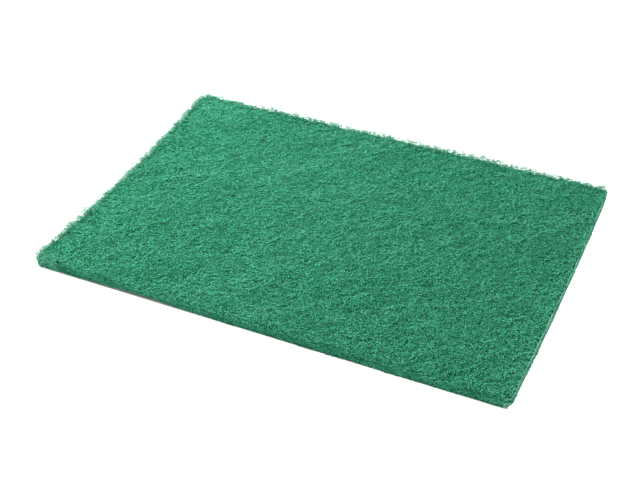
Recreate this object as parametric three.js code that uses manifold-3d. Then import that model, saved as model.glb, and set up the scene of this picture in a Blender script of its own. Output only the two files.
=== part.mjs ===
// A non-woven nylon scouring pad: an open web of crimped, resin-bonded fibres,
// laid as an endless blanket and cut to a rectangle, lying flat on its underside.
// Millimetres, +Z up, length along X, origin at the middle of the underside.
import * as THREE from 'three';
import Module from 'manifold-3d';
import { mergeVertices } from 'three/addons/utils/BufferGeometryUtils.js';
import { ImprovedNoise } from 'three/addons/math/ImprovedNoise.js';

const wasm = await Module();
wasm.setup();

// Cut outline: corner to corner, how far the middle of each side stands out
// from its corners (the left end is drawn in), and the round of each corner.
const length = 225;
const width = 158;
const bow = { front: 0.4, right: 0.9, back: 0.3, left: -3.2 };
const cornerRound = { frontLeft: 5, frontRight: 6, backRight: 2.5, backLeft: 6 };
const cornerSegments = 8;

// Section of the web: its loft, and the roll that the cut leaves on both edges.
const thickness = 6;
const cutRoll = 1.5;
const rollSegments = 2;

// Relief of the bonded surface: tufts drawn out along the way the web was laid.
const laidAngle = THREE.MathUtils.degToRad(41);
const tuftLength = 11;
const tuftWidth = 6.4;
const tuftHeight = 2.1;
const samplesPerTuft = 2.1;

// Hollows of the underside, between the flats that it rests on.
const hollowDepth = 1.2;
const hollowPitch = 31;
const hollowShare = 0.1;
const samplesPerHollow = 3;

// Stretch of the front edge whose underside stands clear of the table.
const frontGap = { height: 1.2, reach: 11, middle: -68, span: 72 };

// Coarse strands that stand out of the cut edges: the share that are cut ends,
// the rest being loops, and their reach and pitch on ragged and on trimmed edges.
const strandThickness = 0.7;
const strandRoot = 2.2;
const loopSpan = 5;
const cutEndShare = 0.6;
const ragged = { reach: 2.6, pitch: 4 };
const trimmed = { reach: 1, pitch: 20 };

// How strands differ: the height that they leave the cut at as a share of the
// thickness, their reach and pitch as shares of the above, and how far they lean
// along the cut and rise from it as shares of their own reach.
const spread = {
  height: [0.3, 0.9], reach: [0.5, 1], pitch: [0.7, 1.3], lean: [-0.7, 0.7], rise: [-0.2, 0.6],
};

// Course of a strand from its root on: shares of its run along the cut, of its
// root and reach together, and of its rise.
const endCourse = [[-1, 0, 0], [0, 0.5, 0.3], [1, 0.8, -0.2], [0.7, 1, 1]];
const loopCourse = [[-0.5, 0, 0], [-0.35, 0.6, 0.3], [0.1, 0.95, 1], [0.35, 0.6, -0.3], [0.5, 0, 0]];

const finish = { color: 0x398d6b, roughness: 0.9, metalness: 0 };
const seed = 29;

const noise = new ImprovedNoise();
THREE.MathUtils.seededRandom(seed);

function random([low, high]) {
  return low + (high - low) * THREE.MathUtils.seededRandom();
}

function toSolid(geometry) {
  geometry.deleteAttribute('normal');
  geometry.deleteAttribute('uv');
  const merged = mergeVertices(geometry);
  return new wasm.Manifold(new wasm.Mesh({
    numProp: 3,
    vertProperties: merged.attributes.position.array,
    triVerts: Uint32Array.from(merged.index.array),
  }));
}

function toGeometry(solid) {
  const mesh = solid.getMesh();
  const geometry = new THREE.BufferGeometry();
  geometry.setAttribute('position', new THREE.BufferAttribute(mesh.vertProperties, 3));
  geometry.setIndex(new THREE.BufferAttribute(mesh.triVerts, 1));
  geometry.computeVertexNormals();
  return geometry;
}

// The line of the cut, counter-clockwise from the front left corner: each side
// is a shallow curve, and each corner is turned by a curve about its point.
function cutOutline() {
  const x = length / 2;
  const y = width / 2;
  const corners = [
    { at: new THREE.Vector2(-x, -y), round: cornerRound.frontLeft, bow: bow.front },
    { at: new THREE.Vector2(x, -y), round: cornerRound.frontRight, bow: bow.right },
    { at: new THREE.Vector2(x, y), round: cornerRound.backRight, bow: bow.back },
    { at: new THREE.Vector2(-x, y), round: cornerRound.backLeft, bow: bow.left },
  ];
  const outline = new THREE.Shape();
  corners.forEach((corner, i) => {
    const next = corners[(i + 1) % corners.length];
    const along = next.at.clone().sub(corner.at).normalize();
    const outward = new THREE.Vector2(along.y, -along.x);
    const start = corner.at.clone().addScaledVector(along, corner.round);
    const end = next.at.clone().addScaledVector(along, -next.round);
    const middle = start.clone().lerp(end, 0.5).addScaledVector(outward, 2 * corner.bow);
    if (i === 0) outline.moveTo(start.x, start.y);
    else outline.quadraticCurveTo(corner.at.x, corner.at.y, start.x, start.y);
    outline.quadraticCurveTo(middle.x, middle.y, end.x, end.y);
  });
  outline.closePath();
  return outline;
}

// Height of the top surface at a point of the pad.
function topHeight(x, y) {
  const along = x * Math.cos(laidAngle) + y * Math.sin(laidAngle);
  const across = y * Math.cos(laidAngle) - x * Math.sin(laidAngle);
  return thickness + tuftHeight * noise.noise(along / tuftLength, across / tuftWidth, 0);
}

// Height of the underside: below zero where the web lies flat on the table,
// above it in the hollows and where the front edge stands clear.
function undersideHeight(x, y) {
  const hollow = noise.noise(x / hollowPitch, y / hollowPitch, thickness);
  const fromFront = (y + width / 2) / frontGap.reach;
  const fromMiddle = Math.abs(x - frontGap.middle) / (frontGap.span / 2);
  const gap = THREE.MathUtils.smoothstep(1 - fromFront, 0, 1)
    * THREE.MathUtils.smoothstep(1 - fromMiddle, 0, 1);
  return hollowDepth * (hollow - hollowShare) + (frontGap.height + hollowDepth) * gap;
}

// A block whose upper face follows a height, on a grid turned to a heading.
function reliefBlock(height, heading, alongPitch, acrossPitch) {
  const cos = Math.cos(heading);
  const sin = Math.sin(heading);
  const run = length * cos + width * sin + 2 * tuftWidth;
  const breadth = length * sin + width * cos + 2 * tuftWidth;
  const geometry = new THREE.BoxGeometry(
    run, breadth, 2 * thickness,
    Math.round(run / alongPitch), Math.round(breadth / acrossPitch), 1,
  );
  geometry.rotateZ(heading);
  const position = geometry.attributes.position;
  for (let i = 0; i < position.count; i++) {
    if (position.getZ(i) > 0) {
      position.setZ(i, height(position.getX(i), position.getY(i)));
    }
  }
  return toSolid(geometry);
}

// What the knife leaves: the outline, rolled over at its two edges.
function cutBlock(outline) {
  const height = thickness + tuftHeight / 2;
  const geometry = new THREE.ExtrudeGeometry(outline, {
    depth: height - 2 * cutRoll,
    bevelThickness: cutRoll,
    bevelSize: cutRoll,
    bevelOffset: -cutRoll,
    bevelSegments: rollSegments,
    curveSegments: cornerSegments,
  });
  geometry.translate(0, 0, cutRoll);
  return toSolid(geometry);
}

// One coarse strand through the given points, in as many straight pieces.
function strand(points) {
  const section = new THREE.Shape();
  for (let i = 0; i < 3; i++) {
    const angle = i * 2 * Math.PI / 3;
    const x = strandThickness / 2 * Math.cos(angle);
    const y = strandThickness / 2 * Math.sin(angle);
    if (i === 0) section.moveTo(x, y);
    else section.lineTo(x, y);
  }
  return toSolid(new THREE.ExtrudeGeometry(section, {
    steps: points.length - 1,
    extrudePath: new THREE.CatmullRomCurve3(points),
  }));
}

// Cut ends and loops all round the edge, rooted inside the web. They are close
// together on the left and back edges, which are ragged.
function edgeStrands(outline) {
  const strands = [];
  const perimeter = outline.getLength();
  let walked = ragged.pitch / 2;
  while (walked < perimeter) {
    const at = outline.getPointAt(walked / perimeter);
    const along = outline.getTangentAt(walked / perimeter);
    const outward = new THREE.Vector2(along.y, -along.x);
    const isRagged = outward.x < -Math.SQRT1_2 || outward.y > Math.SQRT1_2;
    const edge = isRagged ? ragged : trimmed;
    const height = random(spread.height) * thickness;
    const reach = random(spread.reach) * edge.reach;
    const lean = random(spread.lean) * reach;
    const rise = random(spread.rise) * reach;
    const isEnd = random([0, 1]) < cutEndShare;
    const points = (isEnd ? endCourse : loopCourse).map(([runShare, outShare, riseShare]) => {
      const out = outShare * (strandRoot + reach) - strandRoot;
      const place = at.clone().addScaledVector(outward, out)
        .addScaledVector(along, runShare * (isEnd ? lean : loopSpan));
      return new THREE.Vector3(place.x, place.y, height + riseShare * rise);
    });
    strands.push(strand(points));
    walked += random(spread.pitch) * edge.pitch;
  }
  return strands;
}

function scouringPad() {
  const outline = cutOutline();
  const blanket = reliefBlock(
    topHeight, laidAngle, tuftLength / samplesPerTuft, tuftWidth / samplesPerTuft,
  );
  const hollowStep = hollowPitch / samplesPerHollow;
  const table = reliefBlock(undersideHeight, 0, hollowStep, hollowStep);
  const mat = blanket.intersect(cutBlock(outline)).subtract(table);
  const web = edgeStrands(outline).reduce((joined, strand) => joined.add(strand), mat);
  const material = new THREE.MeshStandardMaterial(finish);
  const mesh = new THREE.Mesh(toGeometry(web), material);
  mesh.name = 'scouring_pad';
  return mesh;
}

const part = new THREE.Group();
part.name = 'nylon_scouring_pad';
part.add(scouringPad());

export default part;
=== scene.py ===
import math

import bpy
import numpy as np
from mathutils import Matrix, Vector


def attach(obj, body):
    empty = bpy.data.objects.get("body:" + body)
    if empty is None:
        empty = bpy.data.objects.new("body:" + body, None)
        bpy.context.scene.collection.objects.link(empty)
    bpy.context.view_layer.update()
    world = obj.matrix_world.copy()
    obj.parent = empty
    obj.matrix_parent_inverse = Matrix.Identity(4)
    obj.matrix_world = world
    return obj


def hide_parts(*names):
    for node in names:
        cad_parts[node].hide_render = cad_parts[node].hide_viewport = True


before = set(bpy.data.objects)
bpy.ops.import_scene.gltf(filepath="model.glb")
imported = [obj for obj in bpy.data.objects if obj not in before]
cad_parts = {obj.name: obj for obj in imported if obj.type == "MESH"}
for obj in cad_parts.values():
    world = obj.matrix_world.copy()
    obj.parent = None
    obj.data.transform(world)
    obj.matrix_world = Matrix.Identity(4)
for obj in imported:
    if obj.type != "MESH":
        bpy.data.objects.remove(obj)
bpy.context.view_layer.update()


# The sheet: a web of crimped nylon fibres, laid as a blanket, bonded with green
# resin and cut to a rectangle. Its left end is drawn in and its corners are soft.
# This piece is the dense inside of the web, which shows between the strands; its dark colour is
# painted shade, the shade of the deep web beneath them.

MM = 0.001
LENGTH, WIDTH, THICKNESS = 225 * MM, 158 * MM, 6 * MM

# How far the middle of each side stands out, and the round of each corner, by the
# signs of its x and y.
BOW_FRONT, BOW_RIGHT, BOW_BACK, BOW_LEFT = 0.4 * MM, 0.9 * MM, 0.3 * MM, -3.2 * MM
CORNERS = {
    (-1, -1): 4.2 * MM, (1, -1): 5.0 * MM, (1, 1): 1.4 * MM, (-1, 1): 5.0 * MM,
}

# The way that the web was laid, turned from the pad's length.
LAID = math.radians(41)


def cut_lines(x, y):
    """How far each point lies inside the left, right, front and back cuts."""
    across = 1 - (2 * y / WIDTH) ** 2
    along = 1 - (2 * x / LENGTH) ** 2
    return (
        x + LENGTH / 2 + BOW_LEFT * across, LENGTH / 2 + BOW_RIGHT * across - x,
        y + WIDTH / 2 + BOW_FRONT * along, WIDTH / 2 + BOW_BACK * along - y,
    )


def inside_by(x, y):
    """How far each point lies inside the cut line, with its rounded corners."""
    left, right, front, back = cut_lines(x, y)
    depth = np.minimum(np.minimum(left, right), np.minimum(front, back))
    for (sx, sy), turn in CORNERS.items():
        end, side = (left if sx < 0 else right), (front if sy < 0 else back)
        near = (end < turn) & (side < turn)
        depth = np.where(near, turn - np.hypot(turn - end, turn - side), depth)
    return depth


# Random hills repeat after this many.
HILLS = 64


def rolling(u, v, seed):
    """Smooth random hills between -1 and 1, one to each unit of u and v."""
    lattice = np.random.default_rng(seed).uniform(-1, 1, (HILLS, HILLS))
    i, j = np.floor(u).astype(int), np.floor(v).astype(int)
    fu, fv = u - i, v - j
    fu, fv = fu * fu * (3 - 2 * fu), fv * fv * (3 - 2 * fv)
    i, j, next_i, next_j = i % HILLS, j % HILLS, (i + 1) % HILLS, (j + 1) % HILLS
    low = lattice[i, j] * (1 - fu) + lattice[next_i, j] * fu
    high = lattice[i, next_j] * (1 - fu) + lattice[next_i, next_j] * fu
    return low * (1 - fv) + high * fv


def drawn_out(x, y, run, spread, seed):
    """Hills drawn out along the way the web was laid."""
    along = x * math.cos(LAID) + y * math.sin(LAID)
    across = y * math.cos(LAID) - x * math.sin(LAID)
    return rolling(along / run, across / spread, seed)


# Height, run, spread and seed of each kind of hill in the two faces.
TUFTS = (0.30 * MM, 22 * MM, 7 * MM, 1)
LUMPS = (0.26 * MM, 9 * MM, 2.6 * MM, 2)
PITS = (0.28 * MM, 2.6 * MM, 1.5 * MM, 4)
HOLLOWS = (0.15 * MM, 9 * MM, 5 * MM, 3)
PORES = (0.6 * MM, 2.6 * MM, 1.8 * MM, 5)
ROLL = 1.6 * MM


def web_top(x, y):
    """Height of the web's upper surface: its relief, and the roll at the cut."""
    relief = THICKNESS
    for height, run, spread, seed in (TUFTS, LUMPS, PITS):
        relief = relief + height * drawn_out(x, y, run, spread, seed)
    short = 1 - np.clip(inside_by(x, y) / ROLL, 0, 1)
    return relief - ROLL * (1 - np.sqrt(1 - short**2))


# The stretch of the front edge that stands clear of the table.
GAP_HEIGHT, GAP_REACH, GAP_MIDDLE, GAP_SPAN = 1.3 * MM, 11 * MM, -58 * MM, 104 * MM


def web_bottom(x, y):
    """Height of the underside: on the table, but clear of it along part of the front."""
    from_front = np.clip(1 - (y + WIDTH / 2) / GAP_REACH, 0, 1)
    sideways = np.clip(1 - np.abs(x - GAP_MIDDLE) / (GAP_SPAN / 2), 0, 1)
    clear = GAP_HEIGHT * from_front**2 * (3 - 2 * from_front) * sideways**2 * (3 - 2 * sideways)
    height, run, spread, seed = HOLLOWS
    return clear + height * (1 + drawn_out(x, y, run, spread, seed))


# The sheet lies below the strands, and ends short of the cut where it was torn.
SHEET_PITCH = 1.4 * MM
SUNK = 0.5 * MM
LOWER_PORES = 0.4
TRIMMED_IN, TORN_IN = 0.05 * MM, 1.3 * MM
bpy.ops.object.select_all(action="DESELECT")
bpy.ops.mesh.primitive_grid_add(
    x_subdivisions=round(LENGTH / SHEET_PITCH), y_subdivisions=round(WIDTH / SHEET_PITCH),
    size=1, location=(0, 0, 0),
)
sheet = bpy.context.object
sheet.name = "web_sheet"
mesh = sheet.data
flat = np.empty(len(mesh.vertices) * 3)
mesh.vertices.foreach_get("co", flat)
flat = flat.reshape(-1, 3)
s, t = flat[:, 0] * 2, flat[:, 1] * 2
y = t * (WIDTH / 2 - np.where(t < 0, TRIMMED_IN, TORN_IN))
x = s * (LENGTH / 2 - np.where(s > 0, TRIMMED_IN, TORN_IN))
x -= np.where(s < 0, BOW_LEFT, -BOW_RIGHT) * (1 - t**2) * np.abs(s)
y += np.where(t < 0, -BOW_FRONT, BOW_BACK) * (1 - s**2) * np.abs(t)
mesh.vertices.foreach_set("co", np.stack([x, y, 0 * x], 1).ravel())
bpy.ops.object.mode_set(mode="EDIT")
bpy.ops.mesh.select_all(action="DESELECT")
bpy.ops.object.mode_set(mode="OBJECT")
for face in mesh.polygons:
    face.select = bool(inside_by(face.center.x, face.center.y) < TRIMMED_IN)
bpy.ops.object.mode_set(mode="EDIT")
bpy.ops.mesh.select_mode(type="FACE")
bpy.ops.mesh.delete(type="FACE")
bpy.ops.mesh.select_all(action="SELECT")
bpy.ops.mesh.delete_loose()
bpy.ops.object.mode_set(mode="OBJECT")
solidify = sheet.modifiers.new("loft", "SOLIDIFY")
solidify.thickness = THICKNESS
solidify.offset = 1
bpy.ops.object.modifier_apply(modifier=solidify.name)
mesh = sheet.data
co = np.empty(len(mesh.vertices) * 3)
mesh.vertices.foreach_get("co", co)
co = co.reshape(-1, 3)
x, y = co[:, 0].copy(), co[:, 1].copy()
height, run, spread, seed = PORES
pores = height * np.clip(drawn_out(x, y, run, spread, seed), 0, 1)
upper, lower = web_top(x, y) - SUNK - pores, web_bottom(x, y) + SUNK + LOWER_PORES * pores
co[:, 2] = np.where(co[:, 2] > THICKNESS / 2, upper, lower)
mesh.vertices.foreach_set("co", co.ravel())
mesh.update()
bpy.ops.object.mode_set(mode="EDIT")
bpy.ops.mesh.select_all(action="SELECT")
bpy.ops.mesh.normals_make_consistent(inside=False)
bpy.ops.object.mode_set(mode="OBJECT")
bpy.ops.object.shade_smooth()


def new_finish(name, roughness, gloss):
    """A bare Principled material with its roughness and gloss, and its nodes."""
    material = bpy.data.materials.new(name)
    material.use_nodes = True
    tree = material.node_tree
    surface = tree.nodes["Principled BSDF"]
    surface.inputs["Roughness"].default_value = roughness
    surface.inputs["Specular IOR Level"].default_value = gloss
    return material, tree, surface


def node(tree, kind, inputs=None, **settings):
    """One node of a material, with its settings and its input values or links."""
    made = tree.nodes.new(kind)
    for key, value in settings.items():
        setattr(made, key, value)
    for key, value in (inputs or {}).items():
        if isinstance(value, bpy.types.NodeSocket):
            tree.links.new(value, made.inputs[key])
        else:
            made.inputs[key].default_value = value
    return made


# Painted shade: pores painted near black-green, with three layers of finer strands seen across them,
# painted a shaded green, each with its noise scale and the width of its lines.
PORE_SHADE_GREEN = (0.002, 0.090, 0.038, 1)
SHADED_INNER_GREEN = (0.050, 0.370, 0.205, 1)
INNER_LAYERS = ((420.0, 0.055), (610.0, 0.06), (880.0, 0.07))
inner, tree, surface = new_finish("resin_bonded_web", roughness=0.85, gloss=0.15)
place = node(tree, "ShaderNodeTexCoord").outputs["Object"]
turned = node(
    tree, "ShaderNodeMapping", {"Vector": place, "Rotation": (0, 0, -LAID), "Scale": (0.7, 1, 1)},
).outputs["Vector"]
strands_seen = None
for layer, (scale, width) in enumerate(INNER_LAYERS):
    swirl = node(
        tree, "ShaderNodeTexNoise",
        {"Vector": turned, "Scale": scale, "Detail": 1.0, "Distortion": 0.8 + 0.4 * layer},
    ).outputs["Fac"]
    off = node(
        tree, "ShaderNodeMath", {0: swirl, 1: 0.5}, operation="SUBTRACT",
    ).outputs[0]
    away = node(tree, "ShaderNodeMath", {0: off}, operation="ABSOLUTE").outputs[0]
    line = node(
        tree, "ShaderNodeMapRange",
        {"Value": away, "From Min": 0.0, "From Max": width, "To Min": 1.0, "To Max": 0.0},
    ).outputs["Result"]
    strands_seen = line if strands_seen is None else node(
        tree, "ShaderNodeMath", {0: strands_seen, 1: line}, operation="MAXIMUM",
    ).outputs[0]
tinted = node(tree, "ShaderNodeMix", {"Factor": strands_seen}, data_type="RGBA")
tinted.inputs[6].default_value = PORE_SHADE_GREEN
tinted.inputs[7].default_value = SHADED_INNER_GREEN
tree.links.new(tinted.outputs[2], surface.inputs["Base Color"])
raised = node(
    tree, "ShaderNodeBump", {"Height": strands_seen, "Distance": 0.25 * MM, "Strength": 0.8},
).outputs["Normal"]
tree.links.new(raised, surface.inputs["Normal"])
sheet.data.materials.append(inner)
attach(sheet, "root")
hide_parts("scouring_pad")


# The strands in the upper face of the web: single crimped nylon fibres, each a few
# millimetres of it on show before it dives back in, lying every way but more of
# them along the way the web was laid, and cut off where they meet the knife.

# A strand's thickness, which the widths below are shares of.
STRAND = 0.25 * MM
STRAND_SIDES = 3


def crimped(rng, x, y, heading, points, step, crimp, wander):
    """Flat paths of crimped strands about their middle points, as x and y arrays.

    A strand swings to both sides of its heading once in 2.6 to 4.4 steps, by up to
    crimp radians or a little more, and its heading wanders at random besides.
    """
    count = len(x)
    k = np.arange(points)
    wave = rng.uniform(2.6, 4.4, (count, 1))
    phase = rng.uniform(0, 2 * math.pi, (count, 1))
    turns = rng.uniform(0.5, 1.3, (count, 1)) * crimp * np.sin(2 * math.pi * k / wave + phase)
    drift = np.cumsum(rng.normal(0, wander, (count, points)), axis=1)
    angle = heading[:, None] + turns + drift
    px, py = np.cumsum(np.cos(angle), axis=1), np.cumsum(np.sin(angle), axis=1)
    px, py = px - px.mean(1, keepdims=True), py - py.mean(1, keepdims=True)
    return x[:, None] + step * px, y[:, None] + step * py


def weaving(rng, count, points, depth):
    """How far each point of each strand sinks and rises as the strand weaves."""
    k = np.arange(points) * rng.uniform(1.1, 2.4, (count, 1))
    return depth * np.sin(rng.uniform(0, 2 * math.pi, (count, 1)) + k)


def climbing(rng, count, points):
    """How far each point lies over its strand's middle, in steps, as the strand climbs."""
    steepness = rng.uniform(0.1, 0.9, (count, 1))
    wave = rng.uniform(1.2, 2.2, (count, 1)) * np.arange(points)
    rise = np.cumsum(steepness * np.sin(wave + rng.uniform(0, 6.3, (count, 1))), axis=1)
    return rise - rise.mean(1, keepdims=True)


def laid_headings(rng, count, share):
    """Directions for strands: a share near the laid way, the rest anyhow."""
    laid_spread = 0.45
    near = rng.normal(LAID, laid_spread, count)
    anyhow = rng.uniform(0, math.pi, count)
    return np.where(rng.uniform(0, 1, count) < share, near, anyhow)


def strand_mesh(name, paths, widths, finish):
    """One mesh of three-sided tubes along paths of x, y, z and tone."""
    ring = bpy.data.curves.new(name + "_section", "CURVE")
    side = ring.splines.new("POLY")
    side.points.add(STRAND_SIDES - 1)
    side.use_cyclic_u = True
    for corner, point in enumerate(side.points):
        turn = -2 * math.pi * corner / STRAND_SIDES
        point.co = (STRAND / 2 * math.cos(turn), STRAND / 2 * math.sin(turn), 0, 1)
    section = bpy.data.objects.new(name + "_section", ring)
    bpy.context.collection.objects.link(section)
    curve = bpy.data.curves.new(name, "CURVE")
    curve.dimensions = "3D"
    for path, width in zip(paths, widths):
        spline = curve.splines.new("POLY")
        spline.points.add(len(path) - 1)
        spline.points.foreach_set("co", np.c_[path[:, :3], np.ones(len(path))].ravel())
        spline.points.foreach_set("radius", np.full(len(path), width))
    curve.bevel_mode = "OBJECT"
    curve.bevel_object = section
    curve.use_fill_caps = True
    strands = bpy.data.objects.new(name, curve)
    bpy.context.collection.objects.link(strands)
    bpy.ops.object.select_all(action="DESELECT")
    strands.select_set(True)
    bpy.context.view_layer.objects.active = strands
    bpy.ops.object.convert(target="MESH")
    strands = bpy.context.object
    bpy.data.objects.remove(section)

    # The sweep gives each strand's two end caps first, last strand foremost, and
    # then the rings of all the strands in order.
    mesh = strands.data
    cells = math.ceil(math.sqrt(len(paths)))
    caps, rings = [], []
    for i, path in enumerate(paths):
        along = np.linspace(0.1, 0.9, len(path))
        rows = np.stack([(i % cells + along) / cells, 0 * along, path[:, 3]], 1)
        rows = np.repeat(rows, STRAND_SIDES, axis=0)
        rows[:, 1] = (i // cells + np.tile([0.1, 0.5, 0.9], len(path))) / cells
        rings.append(rows)
        caps.append(np.concatenate([rows[-STRAND_SIDES:], rows[:STRAND_SIDES]]))
    rows = np.concatenate(caps[::-1] + rings)
    tone = mesh.attributes.new("tone", "FLOAT", "POINT")
    tone.data.foreach_set("value", rows[:, 2])
    corners = np.empty(len(mesh.loops), dtype=np.int32)
    mesh.loops.foreach_get("vertex_index", corners)
    mesh.uv_layers[0].name = "OFBake"
    mesh.uv_layers[0].data.foreach_set("uv", rows[corners, :2].ravel())
    bpy.ops.object.mode_set(mode="EDIT")
    bpy.ops.mesh.select_all(action="SELECT")
    bpy.ops.mesh.remove_doubles(threshold=0.001 * MM)
    bpy.ops.mesh.normals_make_consistent(inside=False)
    bpy.ops.object.mode_set(mode="OBJECT")
    bpy.ops.object.shade_smooth()
    mesh.materials.clear()
    mesh.materials.append(finish)
    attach(strands, "root")


def cut_to_length(x, y, z, tones, allowed):
    """Paths ended where they pass the cut by more than each strand is allowed."""
    within = inside_by(x, y) > -allowed[:, None]
    whole = np.stack([x, y, z, tones], 2)
    kept = []
    for i in range(len(x)):
        start = int(np.argmax(within[i]))
        end = start + int(np.argmin(np.append(within[i, start:], False)))
        kept.append(whole[i, start:end])
    return kept


TORN_CORNER = 13 * MM


def raggedness(x, y):
    """One on the left and back cuts and round the front left corner, else zero."""
    left, right, front, back = cut_lines(x, y)
    torn = np.minimum(left, back) < np.minimum(right, front)
    corner = np.hypot(x + LENGTH / 2, y + WIDTH / 2) < TORN_CORNER
    return np.where(torn | corner, 1.0, 0.0)


def add_strands(name, px, py, pz, tones, allowed, widths, finish):
    """Cut the paths to length and make one mesh of those that are left."""
    paths = cut_to_length(px, py, pz, tones, allowed)
    keep = [i for i, path in enumerate(paths) if len(path) > 2]
    strand_mesh(name, [paths[i] for i in keep], widths[keep], finish)


# Beads of resin: how many to a metre, and how far they shift a strand's tone.
BEADS, BEAD_SHIFT = 2000.0, 1.4
MIDDLE_TONE = 0.35


def strand_finish(name, deep, middle, light):
    """Crimped nylon, greener or paler by each point's tone and by beads of resin."""
    finish, tree, surface = new_finish(name, roughness=0.6, gloss=0.03)
    tone = node(tree, "ShaderNodeAttribute", attribute_name="tone").outputs["Fac"]
    place = node(tree, "ShaderNodeTexCoord").outputs["Object"]
    beads = node(
        tree, "ShaderNodeTexNoise", {"Vector": place, "Scale": BEADS, "Detail": 1.0},
    ).outputs["Fac"]
    beads = node(
        tree, "ShaderNodeMapRange",
        {
            "Value": beads, "From Min": 0.4, "From Max": 0.6,
            "To Min": -BEAD_SHIFT, "To Max": BEAD_SHIFT,
        },
        clamp=False,
    ).outputs["Result"]
    shade = node(
        tree, "ShaderNodeMath", {0: tone, 1: beads}, operation="ADD", use_clamp=True,
    ).outputs[0]
    colours = node(tree, "ShaderNodeValToRGB", {"Fac": shade})
    ramp = colours.color_ramp.elements
    ramp[0].color, ramp[1].color = deep, light
    ramp.new(MIDDLE_TONE).color = middle
    tree.links.new(colours.outputs["Color"], surface.inputs["Base Color"])
    return finish


green_strands = strand_finish(
    "crimped_nylon", (0.0, 0.168, 0.055, 1), (0.003, 0.548, 0.290, 1), (0.168, 0.658, 0.448, 1),
)

FACE_POINTS, FACE_STEP = 10, 0.85 * MM

# Tone runs from 0, the deepest green, to 1, the palest. It falls with depth, which is painted shade,
# varies from strand to strand and point to point, follows streaks of the laid web, each with its
# strength, run, spread and seed, and rises at the cut, which is a painted highlight.
FACE_TONE, PAINTED_SHADE_PER_MM = 0.60, 0.25
STRAND_VARIES, POINT_VARIES = 0.08, 0.12
STREAKS = ((0.30, 27 * MM, 3.5 * MM, 6), (0.24, 45 * MM, 8 * MM, 9))
RIM = 4 * MM
TORN_EDGE_HIGHLIGHT, RIGHT_EDGE_HIGHLIGHT, FRONT_EDGE_HIGHLIGHT = 0.8, 0.9, 0.35

# Strands stop a little short of the cut where it was trimmed. Where it was torn some
# pass it, and those whose middles lie near it are thinned out.
SHORT_OF_CUT, PAST_TORN = 0.1 * MM, 1.4 * MM
THINNED_FROM, THINNED_BY = -MM, 1.8 * MM


def at_right_end(x):
    """Whether points lie by the right cut."""
    return x > LENGTH / 2 - RIM


for name, seed, count, deepest, highest, thickest in [
    ("top_strands_low", 101, 3300, 0.70 * MM, 0.40 * MM, 1.7),
    ("top_strands_middle", 102, 3540, 0.50 * MM, 0.25 * MM, 1.6),
    ("top_strands_high", 103, 3540, 0.35 * MM, 0.10 * MM, 1.4),
]:
    rng = np.random.default_rng(seed)
    mx = rng.uniform(-LENGTH / 2 - MM, LENGTH / 2 + MM, count)
    my = rng.uniform(-WIDTH / 2, WIDTH / 2 + MM, count)
    headings = laid_headings(rng, count, share=0.35)
    px, py = crimped(rng, mx, my, headings, FACE_POINTS, FACE_STEP, crimp=1.0, wander=0.12)
    depth = rng.uniform(highest, deepest, (count, 1))
    depth = depth + weaving(rng, count, FACE_POINTS, depth=0.25 * MM)
    pz = web_top(px, py) - depth
    reach = PAST_TORN * rng.uniform(0, 1, count) ** 2 * raggedness(mx, my) - SHORT_OF_CUT
    # Deeper strands are painted darker: painted shade of the web above them.
    tones = FACE_TONE - PAINTED_SHADE_PER_MM * depth / MM + rng.normal(0, STRAND_VARIES, (count, 1))
    tones = tones + rng.normal(0, POINT_VARIES, px.shape)
    for strength, run, spread, streak_seed in STREAKS:
        tones += strength * drawn_out(px, py, run, spread, streak_seed)
    # Strands within RIM of the cut are painted paler: a painted highlight where the edges catch the
    # light, strongest at the lit right end and the backlit torn edges.
    edge_highlight = np.where(at_right_end(px), RIGHT_EDGE_HIGHLIGHT, FRONT_EDGE_HIGHLIGHT)
    edge_highlight = np.where(raggedness(px, py) > 0, TORN_EDGE_HIGHLIGHT, edge_highlight)
    tones += edge_highlight * np.clip(1 - inside_by(px, py) / RIM, 0, 1)
    widths = rng.uniform(0.7, thickest, count)
    thinned = THINNED_BY * rng.uniform(0, 1, count) ** 2 * raggedness(mx, my) + THINNED_FROM
    reach = np.where(inside_by(mx, my) < thinned, -LENGTH, reach)
    add_strands(name, px, py, pz, tones, reach, widths, green_strands)


# The cut edges: the same nylon strands seen from the side, most lying along the
# cut. The front and right were trimmed clean, and the right one is painted pale, a painted highlight
# where the lamp on the right lights it; the left and back were torn off the blanket, so their
# strands stand out as a fringe.

# How far round the pad random points are tried, and how many for each one wanted.
MARGIN, TRIES = 3 * MM, 60


def near_the_cut(rng, count, outmost, inmost):
    """Random points whose distance inside the cut lies between two limits."""
    x = rng.uniform(-LENGTH / 2 - MARGIN, LENGTH / 2 + MARGIN, TRIES * count)
    y = rng.uniform(-WIDTH / 2 - MARGIN, WIDTH / 2 + MARGIN, TRIES * count)
    depth = inside_by(x, y)
    chosen = np.flatnonzero((depth > outmost) & (depth < inmost))[:count]
    return x[chosen], y[chosen]


def inward(x, y):
    """The way that leads straight in from the cut line nearest to each point."""
    tiny, never_zero = 0.05 * MM, 1e-9
    slope_x = inside_by(x + tiny, y) - inside_by(x - tiny, y)
    slope_y = inside_by(x, y + tiny) - inside_by(x, y - tiny)
    steepness = np.hypot(slope_x, slope_y) + never_zero
    return slope_x / steepness, slope_y / steepness


def cut_heading(x, y):
    """Direction of the cut line nearest to each point."""
    in_x, in_y = inward(x, y)
    return np.arctan2(in_x, -in_y)


def to_depth(x, y, depth):
    """Points moved straight in or out until they lie that far inside the cut."""
    in_x, in_y = inward(x, y)
    short = depth - inside_by(x, y)
    return x + short * in_x, y + short * in_y


# A paler copy of the nylon for the right edge: a painted highlight where the lamp on the right
# lights that wall.
right_highlight_finish = strand_finish(
    "nylon_painted_highlight", (0.050, 0.400, 0.220, 1), (0.200, 0.660, 0.460, 1), (0.430, 0.820, 0.640, 1),
)
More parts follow.
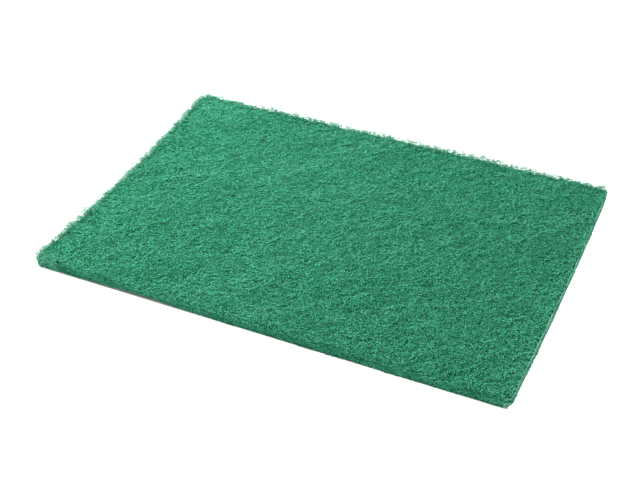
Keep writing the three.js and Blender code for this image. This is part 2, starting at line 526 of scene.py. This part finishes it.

# The strands of all four walls lie within half a millimetre of the cut, at every
# height between the two faces, and those of the right edge are painted palest, a painted highlight
# of the lit right wall.
WALL_STRANDS, WALL_POINTS, WALL_STEP = 2100, 10, MM
BELOW_TOP, ABOVE_BOTTOM = 0.1 * MM, 0.16 * MM
RIGHT_HIGHLIGHT_TONE, OTHER_TONE, EDGE_VARIES = 0.9, 0.55, 0.2
rng = np.random.default_rng(200)
mx, my = near_the_cut(rng, WALL_STRANDS, 0, 0.4 * MM)
count = len(mx)
headings = cut_heading(mx, my) + rng.normal(0, 0.25, count)
px, py = crimped(rng, mx, my, headings, WALL_POINTS, WALL_STEP, crimp=0.5, wander=0.04)
depth = rng.uniform(-0.05, 0.35, (count, 1)) * MM
depth = depth + weaving(rng, count, WALL_POINTS, depth=0.15 * MM)
px, py = to_depth(px, py, depth)
rise = climbing(rng, count, WALL_POINTS)
pz = rng.uniform(-0.6, 5.8, (count, 1)) * MM + WALL_STEP * rise
pz = np.clip(pz, web_bottom(px, py) + ABOVE_BOTTOM, web_top(px, py) - BELOW_TOP)
on_right = at_right_end(mx)
tones = np.where(on_right, RIGHT_HIGHLIGHT_TONE, OTHER_TONE)[:, None]
tones = tones + rng.normal(0, EDGE_VARIES, px.shape)
widths = rng.uniform(0.75, 1.25, count)
reach = np.full(count, MM)
for name, chosen, finish in [
    ("right_edge_strands", on_right, right_highlight_finish), ("other_edge_strands", ~on_right, green_strands),
]:
    add_strands(
        name, px[chosen], py[chosen], pz[chosen], tones[chosen], reach[chosen], widths[chosen],
        finish,
    )

torn_strands = strand_finish(
    "torn_nylon", (0.006, 0.330, 0.150, 1), (0.050, 0.590, 0.345, 1), (0.290, 0.740, 0.555, 1),
)

# The fringe points out of the torn edges in every way, finer than the rest, from a
# band in and out of the cut line. On part of the back edge it was pulled out further.
FRINGE_STRANDS, FRINGE_POINTS, FRINGE_STEP = 9800, 8, 0.7 * MM
FRINGE_BAND = 2.2 * MM
PULLED_MIDDLE, PULLED_SPREAD, PULLED_OUT = 58 * MM, 20 * MM, 1.9 * MM
FRINGE_REACH_MM, LOCKS_REACH_MM, PULLED_REACH_MM = 4.4, 1.8, 4
LOCKS, LOCKS_SEED = 9 * MM, 8
OVER_TOP = 4.8 * MM
rng = np.random.default_rng(300)
mx, my = near_the_cut(rng, FRINGE_STRANDS, -FRINGE_BAND, FRINGE_BAND)
torn = raggedness(mx, my) > 0
mx, my = mx[torn], my[torn]
count = len(mx)
pulled = np.exp(-((mx - PULLED_MIDDLE) / PULLED_SPREAD) ** 2) * (my > 0)
my = my + PULLED_OUT * pulled * rng.uniform(0, 1, count)
headings = cut_heading(mx, my) + math.pi / 2 + rng.normal(0, 0.8, count)
px, py = crimped(rng, mx, my, headings, FRINGE_POINTS, FRINGE_STEP, crimp=1.5, wander=0.25)
rise = climbing(rng, count, FRINGE_POINTS)
pz = (1 + 6.5 * rng.uniform(0, 1, (count, 1)) ** 0.6) * MM
pz = pz + FRINGE_STEP * rise
ceiling = web_top(px, py) + OVER_TOP * rng.uniform(0, 1, (count, 1)) ** 1.6
pz = np.clip(pz, 0.2 * MM, ceiling)
# Fringe strands are painted paler the further out they stand: a painted glow of light shining
# through the fringe from behind.
paler = 0.15 * np.clip(-inside_by(px, py) / MM, -2, 3)
tones = OTHER_TONE + paler + rng.normal(0, EDGE_VARIES, px.shape)
widths = rng.uniform(0.5, 0.9, count)
locks = rolling(mx / LOCKS, my / LOCKS, LOCKS_SEED)
reach = (FRINGE_REACH_MM + LOCKS_REACH_MM * locks + PULLED_REACH_MM * pulled) * MM
reach *= rng.uniform(0.1, 1, count) ** 1.1
add_strands("fringe_strands", px, py, pz, tones, reach, widths, torn_strands)


# The underside: the same bonded nylon strands, pressed flat where the pad lies on
# the table. They show only under the front edge, or when the pad is turned over.

UNDER_STRANDS, UNDER_POINTS, UNDER_STEP = 1700, 10, MM
UNDER_STREAKS = (0.35, 13 * MM, 2.6 * MM, 7)
rng = np.random.default_rng(400)
mx = rng.uniform(-LENGTH / 2, LENGTH / 2, UNDER_STRANDS)
my = rng.uniform(-WIDTH / 2, WIDTH / 2, UNDER_STRANDS)
headings = laid_headings(rng, UNDER_STRANDS, share=0.5)
px, py = crimped(rng, mx, my, headings, UNDER_POINTS, UNDER_STEP, crimp=0.9, wander=0.12)
pz = web_bottom(px, py) + rng.uniform(0.15, 0.5, (UNDER_STRANDS, 1)) * MM
strength, run, spread, streak_seed = UNDER_STREAKS
tones = 0.5 + rng.normal(0, 0.2, px.shape) + strength * drawn_out(px, py, run, spread, streak_seed)
widths = rng.uniform(0.9, 1.4, UNDER_STRANDS)
reach = np.full(UNDER_STRANDS, 0.1 * MM)
add_strands("underside_strands", px, py, pz, tones, reach, widths, green_strands)


# The table: a plain white surface that keeps the pad's soft shadow. To the camera
# it glows as white as the photo's ground, but not where the pad lies on it, so that
# the gap under the front edge stays dark.

TABLE_SIDE = 6.0
TABLE_GLOW = 0.75
bpy.ops.mesh.primitive_plane_add(size=TABLE_SIDE, location=(0, 0, 0))
table = bpy.context.object
table.name = "table"
white, tree, surface = new_finish("plain_white", roughness=0.9, gloss=0.0)
surface.inputs["Base Color"].default_value = (0.86, 0.86, 0.86, 1)
rays = node(tree, "ShaderNodeLightPath")
seen = node(
    tree, "ShaderNodeMath",
    {0: rays.outputs["Is Camera Ray"], 1: rays.outputs["Is Glossy Ray"]}, operation="MAXIMUM",
).outputs[0]
seen = node(
    tree, "ShaderNodeMath", {0: seen, 1: rays.outputs["Is Transmission Ray"]}, operation="MAXIMUM",
).outputs[0]
glow = node(tree, "ShaderNodeMath", {0: seen, 1: TABLE_GLOW}, operation="MULTIPLY").outputs[0]
spot = node(tree, "ShaderNodeTexCoord").outputs["Object"]
for axis, half in (("X", LENGTH / 2 - MM), ("Y", WIDTH / 2)):
    offset = node(tree, "ShaderNodeSeparateXYZ", {"Vector": spot}).outputs[axis]
    offset = node(tree, "ShaderNodeMath", {0: offset}, operation="ABSOLUTE").outputs[0]
    beyond = node(
        tree, "ShaderNodeMath", {0: offset, 1: half}, operation="GREATER_THAN",
    ).outputs[0]
    open_floor = beyond if axis == "X" else node(
        tree, "ShaderNodeMath", {0: open_floor, 1: beyond}, operation="MAXIMUM",
    ).outputs[0]
glow = node(tree, "ShaderNodeMath", {0: glow, 1: open_floor}, operation="MULTIPLY").outputs[0]
surface.inputs["Emission Color"].default_value = (1, 1, 1, 1)
tree.links.new(glow, surface.inputs["Emission Strength"])
table.data.materials.append(white)


# Light: an even white surround, a large soft lamp over the back left corner, and
# a weaker one low on the right that lights the right edge.

world = bpy.data.worlds.new("white_surround")
bpy.context.scene.world = world
world.use_nodes = True
surround = world.node_tree.nodes["Background"]
surround.inputs["Color"].default_value = (1, 1, 1, 1)
surround.inputs["Strength"].default_value = 0.65


def soft_lamp(name, place, size, power):
    """A square lamp at a place, turned to face the pad."""
    bpy.ops.object.light_add(type="AREA", location=place)
    lamp = bpy.context.object
    lamp.name = name
    lamp.data.size = size
    lamp.data.energy = power
    lamp.rotation_euler = Vector(place).to_track_quat("Z", "Y").to_euler()


soft_lamp("lamp_back_left", (-0.36, 0.10, 0.36), size=0.4, power=3.6)
soft_lamp("lamp_right", (0.85, -0.35, 0.03), size=0.06, power=2.2)


# The camera: it looks down on the pad from its front, a little to the right. Its
# angles, distance and aim were fitted to the pad's four edges in the photo.

AZIMUTH, ELEVATION, CAMERA_ROLL = 24.812, 37.299, -0.464
DISTANCE = 561.0 * MM
SENSOR_MM, LENS_MM = 36, 67.28
NEAREST = 0.01
AIM = Vector((-1.95 * MM, -8.5 * MM, 0))
az, el, roll = (math.radians(a) for a in (AZIMUTH, ELEVATION, CAMERA_ROLL))
back = Vector((math.sin(az) * math.cos(el), -math.cos(az) * math.cos(el), math.sin(el)))
level = Vector((0, 0, 1)).cross(back).normalized()
upright = back.cross(level)
right = math.cos(roll) * level + math.sin(roll) * upright
up = -math.sin(roll) * level + math.cos(roll) * upright
bpy.ops.object.camera_add(location=AIM + back * DISTANCE)
camera = bpy.context.object
camera.rotation_euler = Matrix((right, up, back)).transposed().to_euler()
camera.data.sensor_width = SENSOR_MM
camera.data.lens = LENS_MM
camera.data.clip_start = NEAREST
bpy.context.scene.camera = camera
bpy.context.scene.view_settings.view_transform = "Standard"
